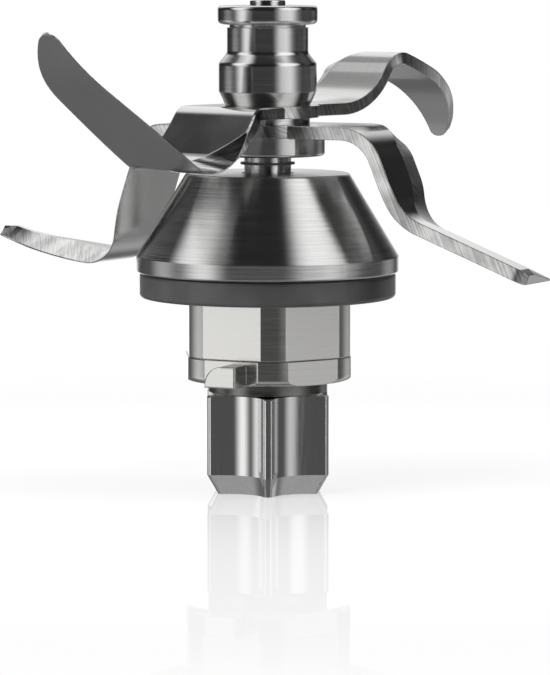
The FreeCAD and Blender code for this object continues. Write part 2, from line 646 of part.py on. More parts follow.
def make_bearing_housing():
    body = new_body("bearing_housing")
    groove = "sizes.spigot_radius - 2 * sizes.o_ring_radius"
    revolve(body, [
        ("sizes.bearing_radius", "levels.housing_bottom"),
        ("sizes.bayonet_bore", "levels.housing_bottom"),
        ("sizes.bayonet_bore", "levels.seam"),
        ("sizes.hex_corner_radius", "levels.seam"),
        ("sizes.hex_corner_radius", "levels.ring_bottom"),
        ("sizes.spigot_radius", "levels.ring_bottom"),
        ("sizes.spigot_radius", "levels.o_ring_level - sizes.o_ring_radius"),
        (groove, "levels.o_ring_level - sizes.o_ring_radius"),
        (groove, "levels.o_ring_level + sizes.o_ring_radius"),
        ("sizes.spigot_radius", "levels.o_ring_level + sizes.o_ring_radius"),
        ("sizes.spigot_radius", "levels.spigot_top"),
        ("sizes.bearing_radius", "levels.spigot_top"),
        ("sizes.bearing_radius", "levels.high_bearing_bottom"),
        ("levels.outer_land", "levels.high_bearing_bottom"),
        ("levels.outer_land", "levels.low_bearing_top"),
        ("sizes.bearing_radius", "levels.low_bearing_top"),
    ])
    cut_flats(body, "sizes.hex_flat", "levels.seam", "sizes.hex_height")
    turn(body, "sizes.hex_turn")
    return body


def make_bayonet_ring():
    body = new_body("bayonet_ring")
    corners = [
        ("sizes.bayonet_bore", "levels.housing_bottom"),
        ("sizes.hex_corner_radius", "levels.housing_bottom"),
        ("sizes.hex_corner_radius", "levels.seam"),
        ("sizes.bayonet_bore", "levels.seam"),
    ]
    revolve(body, corners)
    dress(body, "Fillet", "bayonet_rounding",
          circle_edges(body, size("hex_corner_radius"), level("housing_bottom")))
    cut_flats(body, "sizes.bayonet_flat", "levels.housing_bottom", "sizes.bayonet_height")
    seam, bore = level("seam"), size("bayonet_bore")
    dress(body, "Chamfer", "seam_edge", [
        f"Edge{index}" for index, edge in enumerate(body.Shape.Edges, start=1)
        if edge.BoundBox.ZMin > seam - 1e-3 and math.hypot(*edge.CenterOfMass[:2]) > bore])
    sketch = new_sketch(body, "lug_sketch", "YZ_Plane", "(sizes.bayonet_bore + sizes.bayonet_flat) / 2")
    high = "levels.housing_bottom + sizes.lug_height"
    draw_outline(sketch, [
        ("-sizes.lug_left", "levels.housing_bottom"),
        ("sizes.lug_right", "levels.housing_bottom"),
        ("sizes.lug_right", high),
        ("-sizes.lug_left", high),
    ])
    lug = pad(body, sketch, "lug", "sizes.lug_reach + (sizes.bayonet_flat - sizes.bayonet_bore) / 2")
    corner_height = level("housing_bottom") + size("lug_height")
    rounded = dress(body, "Fillet", "lug_rounding", [
        f"Edge{index}" for index, edge in enumerate(body.Shape.Edges, start=1)
        if edge.BoundBox.YMax < 1e-3 - size("lug_left") and edge.BoundBox.ZMin > corner_height - 1e-3
        and edge.BoundBox.XMin > bore and edge.BoundBox.XLength > size("lug_reach") / 2])
    outer = size("bayonet_flat") + size("lug_reach")
    softened = dress(body, "Fillet", "lug_edge", [
        f"Edge{index}" for index, edge in enumerate(body.Shape.Edges, start=1)
        if edge.BoundBox.XMin > outer - 1e-3])
    around(body, [lug, rounded, softened], "lugs", "sizes.lug_count")
    # The first lug is on the flat to the left of the front corner
    turn(body, "sizes.hex_turn - 120")
    return body


def make_cover():
    hole = "sizes.boss_radius + sizes.cover_hole_gap"
    return turned_piece("bearing_cover", [
        (hole, "levels.cover_bottom"),
        ("sizes.cover_radius", "levels.cover_bottom"),
        ("sizes.cover_radius", "levels.housing_bottom"),
        ("sizes.bearing_radius", "levels.housing_bottom"),
        ("sizes.bearing_radius", "levels.low_bearing_bottom"),
        ("levels.outer_land", "levels.low_bearing_bottom"),
        ("levels.outer_land", "levels.housing_bottom"),
        (hole, "levels.housing_bottom"),
    ])


def make_o_ring():
    ring = doc.addObject("Part::Torus", "housing_o_ring")
    ring.setExpression("Radius1", "sizes.spigot_radius - sizes.o_ring_radius")
    ring.setExpression("Radius2", "sizes.o_ring_radius")
    ring.setExpression("Placement.Base.z", "levels.o_ring_level")
    doc.recompute()
    return finished("housing_o_ring", ring)


def make_wave_washer():
    """Conical spring washer between the upper bearing and the cone."""
    inner = "levels.outer_land"
    outer = "sizes.bearing_radius - sizes.track_clearance"
    low, high = "levels.high_bearing_top", "levels.spigot_top"
    plate = "sizes.wave_washer_plate"
    return turned_piece("preload_washer", [
        (outer, low),
        (outer, f"{low} + {plate}"),
        (inner, high),
        (inner, f"{high} - {plate}"),
    ])


# Sealing ring, cone and shaft seal

def make_sealing_ring():
    """Rubber ring; a relief groove leaves an outer seat that the lugs pass inside."""
    ceiling = "levels.ring_bottom + sizes.ring_relief_depth"
    return turned_piece("sealing_ring", [
        ("sizes.spigot_radius", "levels.ring_bottom"),
        ("levels.relief_inner_radius", "levels.ring_bottom"),
        ("levels.relief_inner_radius", ceiling),
        ("levels.relief_outer_radius", ceiling),
        ("levels.relief_outer_radius", "levels.ring_bottom"),
        ("sizes.ring_radius", "levels.ring_bottom"),
        ("sizes.ring_radius", "levels.flange_bottom"),
        ("sizes.spigot_radius", "levels.flange_bottom"),
    ], [("Fillet", "ring_edge", size("ring_radius"), level(name)) for name in ("ring_bottom", "flange_bottom")])


def make_cone():
    hole = "sizes.shaft_neck_radius + sizes.lid_gap"
    return turned_piece("cone_housing", [
        ("sizes.spigot_radius", "levels.flange_bottom"),
        ("sizes.flange_radius", "levels.flange_bottom"),
        ("sizes.flange_radius", "levels.flange_top"),
        ("sizes.cone_top_radius", "levels.cone_top"),
        (hole, "levels.cone_top"),
        (hole, "levels.seal_top"),
        ("sizes.seal_radius", "levels.seal_top"),
        ("sizes.seal_radius", "levels.spigot_top"),
        ("sizes.spigot_radius", "levels.spigot_top"),
    ], [
        ("Fillet", "cone_edge", size("cone_top_radius"), level("cone_top")),
        ("Chamfer", "flange_edge", size("flange_radius"), level("flange_bottom")),
    ])


def make_shaft_seal():
    lip = "sizes.shaft_neck_radius + sizes.seal_clearance"
    off = f"{lip} + sizes.seal_relief"
    back = f"{lip} + sizes.seal_lip_thickness"
    case = "sizes.seal_radius - sizes.seal_case_wall"
    wall = f"{case} - sizes.seal_wall"
    top = "levels.seal_top - sizes.seal_case_wall"
    web = f"{top} - sizes.seal_web"
    bottom = "levels.seal_bottom"
    edge = "sizes.seal_lip_edge"
    low_edge = f"{bottom} + sizes.seal_relief"
    return turned_piece("shaft_seal", [
        (case, bottom),
        (case, top),
        (lip, top),
        (lip, f"{top} - {edge}"),
        (off, web),
        (off, f"{low_edge} + 2 * {edge}"),
        (lip, f"{low_edge} + {edge}"),
        (lip, low_edge),
        (off, bottom),
        (back, bottom),
        (back, web),
        (wall, web),
        (wall, bottom),
    ])


def make_seal_case():
    inner = "sizes.seal_radius - sizes.seal_case_wall"
    lip = "sizes.seal_radius - sizes.seal_case_lip"
    return turned_piece("seal_case", [
        (inner, "levels.seal_bottom"),
        ("sizes.seal_radius", "levels.seal_bottom"),
        ("sizes.seal_radius", "levels.seal_top"),
        (lip, "levels.seal_top"),
        (lip, "levels.seal_top - sizes.seal_case_wall"),
        (inner, "levels.seal_top - sizes.seal_case_wall"),
    ])


def make_garter_spring():
    spring = doc.addObject("Part::Torus", "garter_spring")
    spring.setExpression("Radius1", "sizes.shaft_neck_radius + sizes.seal_clearance"
                         " + sizes.seal_lip_thickness + sizes.garter_radius")
    spring.setExpression("Radius2", "sizes.garter_radius")
    spring.setExpression("Placement.Base.z", "levels.seal_bottom + sizes.seal_relief + sizes.seal_lip_edge")
    doc.recompute()
    return finished("garter_spring", spring)


# Collar, washers and hub

def make_collar():
    edges = [("Fillet", "collar_edge", size("collar_radius"), level("collar_bottom"))]
    return tube("spacer_collar", "sizes.shaft_radius", "sizes.collar_radius",
                "levels.collar_bottom", "levels.low_blade_bottom", edges)


def make_hub():
    bore = "sizes.shaft_radius"
    neck = "sizes.hub_neck_radius - sizes.hub_groove_depth"
    edges = [("Fillet", "hub_shoulder_rounding", size("hub_bulb_radius"), level("hub_bulb_top")),
             ("Fillet", "hub_shoulder_rounding", size("hub_neck_radius"), level("hub_neck_bottom"))]
    edges += [("Fillet", "hub_cap_edge", size("hub_cap_radius"), level(name))
              for name in ("hub_cap_bottom", "hub_top")]
    return turned_piece("blade_hub", [
        (bore, "levels.hub_bottom"),
        ("sizes.hub_foot_radius", "levels.hub_bottom"),
        ("sizes.hub_bulb_radius", "levels.hub_foot_top"),
        ("sizes.hub_bulb_radius", "levels.hub_bulb_top"),
        ("sizes.hub_neck_radius", "levels.hub_neck_bottom"),
        ("sizes.hub_neck_radius", "levels.hub_cap_bottom - sizes.hub_groove_height"),
        (neck, "levels.hub_cap_bottom - sizes.hub_groove_height"),
        (neck, "levels.hub_cap_bottom"),
        ("sizes.hub_cap_radius", "levels.hub_cap_bottom"),
        ("sizes.hub_cap_radius", "levels.hub_top"),
        (bore, "levels.hub_top"),
    ], edges)


# Blades: bent, ground sheet arms

class ArmPath:
    """Line of one arm along the upper face of the sheet, as straight and bent stretches."""

    def __init__(self, arm, top):
        self.stretches = []
        along, height, heading, station = 0.0, top, 0.0, 0.0
        for name in ("flat", "bend", "drop", "kick", "run", "curl"):
            if name in ("flat", "drop", "run"):
                length, radius, turned = arm_size(arm, name), 0.0, 0.0
            else:
                turned = math.radians(arm_size(arm, name + "_turn"))
                radius = arm_size(arm, name + "_radius") * math.copysign(1, turned)
                length = abs(radius * turned)
            self.stretches.append((station, length, radius, along, height, heading))
            if radius:
                along += radius * (math.sin(heading + turned) - math.sin(heading))
                height += radius * (math.cos(heading) - math.cos(heading + turned))
            else:
                along += length * math.cos(heading)
                height += length * math.sin(heading)
            heading += turned
            station += length
        self.length = station

    def at(self, station, depth):
        """Distance from the axis and height of a point this deep under the upper face."""
        start, length, radius, along, height, heading = [
            item for item in self.stretches if item[0] <= station + 1e-9][-1]
        beyond = station - start
        if radius:
            bent = heading + beyond / radius
            along += radius * (math.sin(bent) - math.sin(heading))
            height += radius * (math.cos(heading) - math.cos(bent))
            heading = bent
        else:
            along += beyond * math.cos(heading)
            height += beyond * math.sin(heading)
        return along + depth * math.sin(heading), height - depth * math.cos(heading)


def eased(share):
    share = min(max(share, 0.0), 1.0)
    return share * share * (3 - 2 * share)


class Arm:
    """Widths, bevel and edges of one arm."""

    def __init__(self, name, top, thickness):
        self.name, self.thickness = name, thickness
        self.path = ArmPath(name, top)
        starts = [stretch[0] for stretch in self.path.stretches]
        self.ground_from, self.ground_full = arm_size(name, "ground_from"), arm_size(name, "ground_full")
        self.stops = (starts[1] / 2, (starts[2] + starts[3]) / 2, starts[4], self.path.length)
        self.tip_start = self.path.length - arm_size(name, "tip_length")
        self.rounding_start = self.path.length - arm_size(name, "tip_rounding")
        self.fall_start = self.path.length - arm_size(name, "tip_ground")
        through = self.ground_from + size("depth_share") * (self.ground_full - self.ground_from)
        stops = starts[1:] + [self.ground_from, through, self.ground_full,
                              self.tip_start, self.fall_start, self.rounding_start]
        self.stations = [0.0]
        for stop in sorted(stops) + [self.path.length]:
            if stop - self.stations[-1] > size("blade_edge"):
                self.stations.append(stop)

    def eased_width(self, side, station):
        values = [arm_size(self.name, f"{side}_{place}") for place in ("root", "drop", "run", "tip")]
        width = values[0]
        for i in range(3):
            share = (station - self.stops[i]) / (self.stops[i + 1] - self.stops[i])
            width += (values[i + 1] - values[i]) * eased(share)
        return width

    def rounded_off(self, station):
        """Width taken off at each corner of the tip."""
        radius = arm_size(self.name, "tip_rounding")
        beyond = max(0.0, station - self.rounding_start)
        return radius - math.sqrt(max(0.0, radius ** 2 - beyond ** 2))

    def lead(self, station):
        return self.eased_width("lead", station) - self.rounded_off(station)

    def trail(self, station):
        """Width behind the line; near the tip the edge sweeps forward to the tip's width."""
        width = self.eased_width("trail", station)
        share = max(0.0, (station - self.tip_start) / (self.path.length - self.tip_start))
        full = arm_size(self.name, "lead_tip") + arm_size(self.name, "trail_tip")
        width -= (full - arm_size(self.name, "tip_width")) * share ** 2
        return width - self.rounded_off(station)

    def ground(self, station):
        """How far the grinding has opened, from 0 at its start to 1."""
        share = (station - self.ground_from) / (self.ground_full - self.ground_from)
        return min(max(share, 0.0), 1.0)

    def bevel(self, station):
        share = self.ground(station)
        width = size("blade_break") + (arm_size(self.name, "bevel") - size("blade_break")) * share
        return min(width, size("bevel_share") * (self.lead(station) + self.trail(station)))

    def bevel_depth(self, station):
        share = min(1.0, self.ground(station) / size("depth_share"))
        full = self.thickness - size("blade_edge")
        return size("blade_break") + (full - size("blade_break")) * share

    def fall(self, station):
        """How far the upper face is ground down on its way to the tip."""
        share = max(0.0, station - self.fall_start) / (self.path.length - self.fall_start)
        return arm_size(self.name, "tip_fall") * share

    def rails(self):
        """Sideways place and depth of the five edges, going round the section."""
        return (
            (lambda s: -self.trail(s), lambda s: self.thickness),
            (lambda s: -self.trail(s), self.fall),
            (lambda s: self.lead(s) - self.bevel(s), self.fall),
            (lambda s: self.lead(s), self.bevel_depth),
            (lambda s: self.lead(s), lambda s: self.thickness),
        )

    def point(self, rail, station):
        across, depth = rail
        along, height = self.path.at(station, depth(station))
        return Vector(along, across(station), height)

    def edge(self, rail, start, end):
        """One edge of the arm between two stations, as a smooth curve."""
        shares = [i / 6 for i in range(7)]
        if start >= self.rounding_start - 1e-6:
            shares = [math.sin(math.pi / 2 * share) for share in shares]
        spots = [self.point(rail, start + (end - start) * share) for share in shares]
        chord = spots[-1] - spots[0]
        off_line = max((spot - spots[0]).cross(chord).Length / chord.Length for spot in spots)
        if off_line < 1e-6:
            return Part.LineSegment(spots[0], spots[-1]).toShape()
        curve = Part.BSplineCurve()
        curve.interpolate(spots)
        return curve.toShape()

    def solid(self):
        """Skin of ruled faces between the edges, closed at both ends."""
        rails = self.rails()
        stations = self.stations
        faces = []
        for start, end in zip(stations, stations[1:]):
            edges = [self.edge(rail, start, end) for rail in rails]
            for one, other in zip(edges, edges[1:] + edges[:1]):
                faces.append(Part.makeRuledSurface(one, other))
        for station in (stations[0], stations[-1]):
            ring = [self.point(rail, station) for rail in rails]
            faces.append(Part.Face(Part.makePolygon(ring + ring[:1])))
        shell = Part.makeShell(faces)
        shell.sewShape()
        solid = Part.Solid(shell)
        if solid.Volume < 0:
            solid.reverse()
        return solid.rotated(Vector(0, 0, 0), Vector(0, 0, 1), arm_size(self.name, "azimuth"))


def make_blade(label, arm_names, thickness, disc_radius, bottom):
    """Two arms and the disc round the shaft, cut out for the shaft and its two flats."""
    blade = Part.makeCylinder(disc_radius, thickness)
    for name in arm_names:
        blade = blade.fuse(Arm(name, thickness, thickness).solid())
    flat, neck = size("flat_distance"), size("shaft_neck_radius")
    bore = Part.makeCylinder(size("shaft_radius"), 3 * thickness, Vector(0, 0, -thickness))
    slab = Part.makeBox(2 * neck, 2 * flat, 3 * thickness, Vector(-neck, -flat, -thickness))
    blade = blade.cut(bore.common(slab)).removeSplitter()
    feature = doc.addObject("Part::Feature", label)
    feature.Shape = blade.Solids[0] if len(blade.Solids) == 1 else blade
    feature.Placement = Placement(Vector(0, 0, bottom), Rotation())
    return finished(label, feature)


NODES = [
    make_shaft(),
    make_coupling(),
    make_coupling_screw(),
    tube("lock_washer", "sizes.screw_hole_radius", "sizes.screw_head_radius",
         "levels.screw_head_top", "sizes.counterbore_depth"),
]
NODES += make_bearing("lower", "low")
NODES += make_bearing("upper", "high")
NODES += [
    tube("bearing_spacer", "sizes.shaft_radius", "sizes.shaft_radius + sizes.spacer_wall",
         "levels.low_bearing_top", "levels.high_bearing_bottom"),
    make_bearing_housing(),
    make_bayonet_ring(),
    make_cover(),
    make_o_ring(),
    make_wave_washer(),
    make_sealing_ring(),
    make_cone(),
    make_shaft_seal(),
    make_seal_case(),
    make_garter_spring(),
    tube("slinger_washer", "sizes.shaft_neck_radius", "sizes.slinger_radius",
         "levels.cone_top + sizes.slinger_rise", "levels.cone_top + sizes.slinger_rise + sizes.slinger_height"),
    make_collar(),
    make_blade("lower_blade", ("low_front", "low_back"), size("low_thickness"),
               size("low_disc_radius"), level("low_blade_bottom")),
    tube("blade_washer", "sizes.shaft_radius", "sizes.washer_radius",
         "levels.washer_bottom", "levels.high_blade_bottom"),
    make_blade("upper_blade", ("high_front", "high_back"), size("high_thickness"),
               size("high_disc_radius"), level("high_blade_bottom")),
    make_hub(),
]

doc.recompute()
for item in doc.Objects:
    if "Invalid" in item.State or "Error" in item.State:
        raise RuntimeError(f"{item.Label} failed: {item.State}")
os.makedirs("parts", exist_ok=True)
for node in NODES:
    if node.Shape.isNull() or not node.Shape.isValid():
        raise RuntimeError(f"{node.Label} has no valid shape")
    node.Shape.exportStep(f"parts/{node.Label}.step")
    print(f"{node.Label}: {len(node.Shape.Solids)} solid(s), {node.Shape.Volume:.1f} mm3")
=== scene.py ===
"""Finishes and studio for the blade unit of a kitchen blender."""

import math

import bmesh
import bpy
from bpy.props import FloatProperty, FloatVectorProperty, PointerProperty
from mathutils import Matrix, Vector

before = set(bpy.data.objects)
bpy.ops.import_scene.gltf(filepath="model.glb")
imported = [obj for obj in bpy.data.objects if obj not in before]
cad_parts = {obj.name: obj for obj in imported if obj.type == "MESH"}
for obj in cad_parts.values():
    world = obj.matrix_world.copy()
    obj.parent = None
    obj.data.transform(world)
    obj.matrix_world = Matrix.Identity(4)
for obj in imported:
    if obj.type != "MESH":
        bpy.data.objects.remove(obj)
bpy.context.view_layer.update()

bl_info = {
    "name": "Blender Blade Assembly",
    "version": (1, 0, 0),
    "blender": (4, 5, 0),
    "location": "3D View > Sidebar > Blade Unit",
    "description": "Gives a blender's blade unit its metal and rubber finishes, and a plain studio",
    "category": "Object",
}

MM = 0.001

# Directions of the two blades' arms, from +X
LOWER_ARMS = math.radians(-29.5)
UPPER_ARMS = math.radians(49.2)

# Radius to which sharp edges look rounded, on turned and milled pieces and on the blades
EDGE_RADIUS, SHEET_EDGE_RADIUS = 0.22 * MM, 0.3 * MM

# How far a blade's face leans sideways where grinding and where the narrow edge begin, and how far it
# faces up or down where it counts as level; each pair is the start and the end of a soft change
GROUND_FACES, EDGE_FACES, LEVEL_FACES = (0.09, 0.13), (0.7, 0.85), (0.55, 0.75)
# Grain of the rolled sheet along and across the arms, and the size of its clouds
GRAIN_RUN, GRAIN_PITCH, CLOUD_SIZE = 14 * MM, 0.4 * MM, 13 * MM
# Slant and length of the grinding lines, the size of their patches and the patches' share
HATCH_SLANT, HATCH_RUN, PATCH_SIZE, PATCH_SHARE = 0.45, 9 * MM, 5 * MM, 0.42


# Sizes and colours that a user would change

class BladeUnitFinishes(bpy.types.PropertyGroup):
    blade_steel: FloatVectorProperty(
        name="Blade steel", description="Colour of the blade sheet",
        subtype="COLOR", size=3, min=0, max=1, default=(0.60, 0.60, 0.595))
    polished_steel: FloatVectorProperty(
        name="Polished steel", description="Colour of the turned and polished pieces",
        subtype="COLOR", size=3, min=0, max=1, default=(0.70, 0.70, 0.695))
    housing_steel: FloatVectorProperty(
        name="Housing steel", description="Colour of the six-sided housing and its bayonet ring",
        subtype="COLOR", size=3, min=0, max=1, default=(0.70, 0.695, 0.675))
    # Darker than the cover's own steel: partly painted shade for the gap between the housing and the star
    # coupling
    shaded_cover_steel: FloatVectorProperty(
        name="Cover steel", description="Colour of the thin bearing cover",
        subtype="COLOR", size=3, min=0, max=1, default=(0.24, 0.24, 0.235))
    spring_steel: FloatVectorProperty(
        name="Spring steel", description="Colour of springs and washers",
        subtype="COLOR", size=3, min=0, max=1, default=(0.42, 0.41, 0.40))
    cage_brass: FloatVectorProperty(
        name="Cage brass", description="Colour of the bearings' ball cages",
        subtype="COLOR", size=3, min=0, max=1, default=(0.72, 0.54, 0.27))
    ring_rubber: FloatVectorProperty(
        name="Ring rubber", description="Colour of the sealing ring",
        subtype="COLOR", size=3, min=0, max=1, default=(0.06, 0.06, 0.061))
    seal_rubber: FloatVectorProperty(
        name="Seal rubber", description="Colour of the small seals",
        subtype="COLOR", size=3, min=0, max=1, default=(0.018, 0.018, 0.019))
    # Much lighter than the other rubber: painted light on the thin washer, whose edge sits in shade
    slinger_rubber_with_painted_light: FloatVectorProperty(
        name="Slinger rubber", description="Colour of the thin washer above the shaft seal",
        subtype="COLOR", size=3, min=0, max=1, default=(0.3, 0.3, 0.3))
    cone_pitch: FloatProperty(
        name="Cone line pitch", description="Distance between the turned lines of the cone",
        unit="LENGTH", min=0.00002, default=0.3 * MM)
    turned_pitch: FloatProperty(
        name="Turned line pitch", description="Distance between the lines of small turned pieces",
        unit="LENGTH", min=0.00002, default=0.28 * MM)
    brushed_pitch: FloatProperty(
        name="Brushed line pitch", description="Distance between the brushed lines of the housing",
        unit="LENGTH", min=0.00002, default=0.5 * MM)
    hatch_pitch: FloatProperty(
        name="Ground line pitch", description="Distance between the grinding lines of the cutting bevels",
        unit="LENGTH", min=0.00002, default=0.4 * MM)


class BladeUnitStage(bpy.types.PropertyGroup):
    floor_colour: FloatVectorProperty(
        name="Floor", description="Colour of the floor",
        subtype="COLOR", size=3, min=0, max=1, default=(0.93, 0.93, 0.93))
    floor_gloss: FloatProperty(
        name="Floor gloss", description="Share of mirror image in the floor at the unit's foot",
        subtype="FACTOR", min=0, max=1, default=0.4)
    floor_lift: FloatProperty(
        name="Floor lift", description="Share of plain white that the camera sees in the floor",
        subtype="FACTOR", min=0, max=1, default=0.8)
    gloss_reach: FloatProperty(
        name="Gloss reach", description="Distance over which the mirror image fades",
        unit="LENGTH", min=0.01, default=235 * MM)
    lamp_power: FloatProperty(
        name="Lamp power", description="Mean power of the two soft lamps",
        unit="POWER", min=0, default=12.0)
    box_strength: FloatProperty(
        name="Soft box strength", description="Brightness of the studio that the metal mirrors",
        min=0, default=1.0)


# Small helpers for node trees

def put(tree, socket, value):
    """Links an output to a socket, or sets the socket's value."""
    if isinstance(value, bpy.types.NodeSocket):
        tree.links.new(value, socket)
    else:
        socket.default_value = value


def node(tree, kind, inputs=(), **settings):
    """New node with these settings; inputs maps a socket's name or place to a value or an output."""
    made = tree.nodes.new(kind)
    for name, value in settings.items():
        setattr(made, name, value)
    for name, value in dict(inputs).items():
        put(tree, made.inputs[name], value)
    return made


def maths(tree, operation, *values):
    return node(tree, "ShaderNodeMath", enumerate(values), operation=operation).outputs[0]


def ramp(tree, value, low, high, to_low=0.0, to_high=1.0, smooth=True):
    """Value moved from one range to another, and held at its ends."""
    made = node(tree, "ShaderNodeMapRange", {
        "Value": value, "From Min": low, "From Max": high, "To Min": to_low, "To Max": to_high,
    }, interpolation_type="SMOOTHSTEP" if smooth else "LINEAR")
    return made.outputs["Result"]


def noise(tree, across, detail=2.0, roughness=0.5):
    """Noise whose grain is one unit of the given vector."""
    return node(tree, "ShaderNodeTexNoise", {
        "Vector": across, "Scale": 1.0, "Detail": detail, "Roughness": roughness,
    }).outputs["Fac"]


def blend_colour(tree, share, low, high):
    mixed = node(tree, "ShaderNodeMix", {0: share, 6: low, 7: high}, data_type="RGBA")
    return mixed.outputs[2]


def blend_value(tree, share, low, high):
    mixed = node(tree, "ShaderNodeMix", {0: share, 2: low, 3: high}, data_type="FLOAT")
    return mixed.outputs[0]


def blend_shader(tree, share, low, high):
    return node(tree, "ShaderNodeMixShader", {0: share, 1: low, 2: high}).outputs[0]


def shade(colour, amount):
    """The colour made lighter or darker."""
    return tuple(min(1.0, part * amount) for part in colour) + (1.0,)


def new_finish(name):
    """Material with one Principled shader; gives the material, its tree and the shader."""
    material = bpy.data.materials.new(name)
    material.use_nodes = True
    tree = material.node_tree
    tree.nodes.clear()
    shader = node(tree, "ShaderNodeBsdfPrincipled")
    out = node(tree, "ShaderNodeOutputMaterial")
    tree.links.new(shader.outputs[0], out.inputs["Surface"])
    return material, tree, shader


def object_spot(tree):
    return node(tree, "ShaderNodeTexCoord").outputs["Object"]


def object_axes(tree):
    """Object coordinates split into X, Y and Z."""
    return node(tree, "ShaderNodeSeparateXYZ", {0: object_spot(tree)}).outputs


def vector(tree, *parts):
    return node(tree, "ShaderNodeCombineXYZ", enumerate(parts)).outputs[0]


def in_units(tree, spot, size):
    """Place measured in units of this size."""
    return node(tree, "ShaderNodeVectorMath", {0: spot, 3: 1 / size}, operation="SCALE").outputs[0]


def from_axis(tree, x, y):
    """Distance from the axis."""
    squares = (maths(tree, "MULTIPLY", part, part) for part in (x, y))
    return maths(tree, "SQRT", maths(tree, "ADD", *squares))


# Patterns that a tool leaves in metal

def turned_lines(tree, pitch, drift=9 * MM):
    """Rings about the axis, on round walls and on end faces alike, which fade round the piece."""
    x, y, z = object_axes(tree)
    side = maths(tree, "ADD", x, maths(tree, "MULTIPLY", y, 0.6))
    return noise(tree, vector(
        tree, maths(tree, "DIVIDE", from_axis(tree, x, y), pitch), maths(tree, "DIVIDE", z, pitch),
        maths(tree, "DIVIDE", side, drift)))


def level_lines(tree, pitch, run=16 * MM, wave_size=7 * MM, wave_height=1.6):
    """Brushed lines that run level round the flats, slightly wavy."""
    x, y, z = object_axes(tree)
    wave = noise(tree, vector(
        tree, maths(tree, "DIVIDE", x, wave_size), maths(tree, "DIVIDE", y, wave_size), 0.0), detail=1.0)
    height = maths(tree, "ADD", maths(tree, "DIVIDE", z, pitch), maths(tree, "MULTIPLY", wave, wave_height))
    return noise(tree, vector(tree, maths(tree, "DIVIDE", x, run), maths(tree, "DIVIDE", y, run), height))


def upright_lines(tree, pitch, run=14 * MM):
    """Drawn lines that run along the axis."""
    x, y, z = object_axes(tree)
    return noise(tree, vector(
        tree, maths(tree, "DIVIDE", x, pitch), maths(tree, "DIVIDE", y, pitch),
        maths(tree, "DIVIDE", z, run)))


def soft_edges(tree, radius):
    """Normal that rounds sharp edges slightly, so that they catch the light as broken edges do."""
    return node(tree, "ShaderNodeBevel", {"Radius": radius}, samples=6).outputs[0]


def round_about(tree):
    """Direction round the axis, which is the way that a lathe's lines run."""
    x, y, _ = object_axes(tree)
    sideways = vector(tree, maths(tree, "MULTIPLY", y, -1.0), x, 0.0)
    return node(tree, "ShaderNodeVectorTransform", {0: sideways},
                vector_type="VECTOR", convert_from="OBJECT", convert_to="WORLD").outputs[0]


def steel_finish(name, colour, pattern, pitch, roughness, spread, depth,
                 contrast=0.1, smear=0.0, edges=EDGE_RADIUS):
    """Metal whose colour, gloss and height follow the tool's lines.

    The roughness moves by the spread, and the depth is the height of the lines. Smear stretches what the
    metal mirrors across them, and edges is the radius to which sharp edges look rounded.
    """
    material, tree, shader = new_finish(name)
    lines = pattern(tree, pitch)
    if smear:
        put(tree, shader.inputs["Tangent"], round_about(tree))
        shader.inputs["Anisotropic"].default_value = smear
        shader.inputs["Anisotropic Rotation"].default_value = 0.25
    shader.inputs["Metallic"].default_value = 1.0
    put(tree, shader.inputs["Base Color"], blend_colour(
        tree, ramp(tree, lines, 0.25, 0.75), shade(colour, 1 - contrast), shade(colour, 1 + contrast)))
    put(tree, shader.inputs["Roughness"],
        ramp(tree, lines, 0.3, 0.7, roughness - spread, roughness + spread, smooth=False))
    bump = node(tree, "ShaderNodeBump", {"Strength": 1.0, "Distance": depth, "Height": lines})
    if edges:
        put(tree, bump.inputs["Normal"], soft_edges(tree, edges))
    put(tree, shader.inputs["Normal"], bump.outputs[0])
    return material


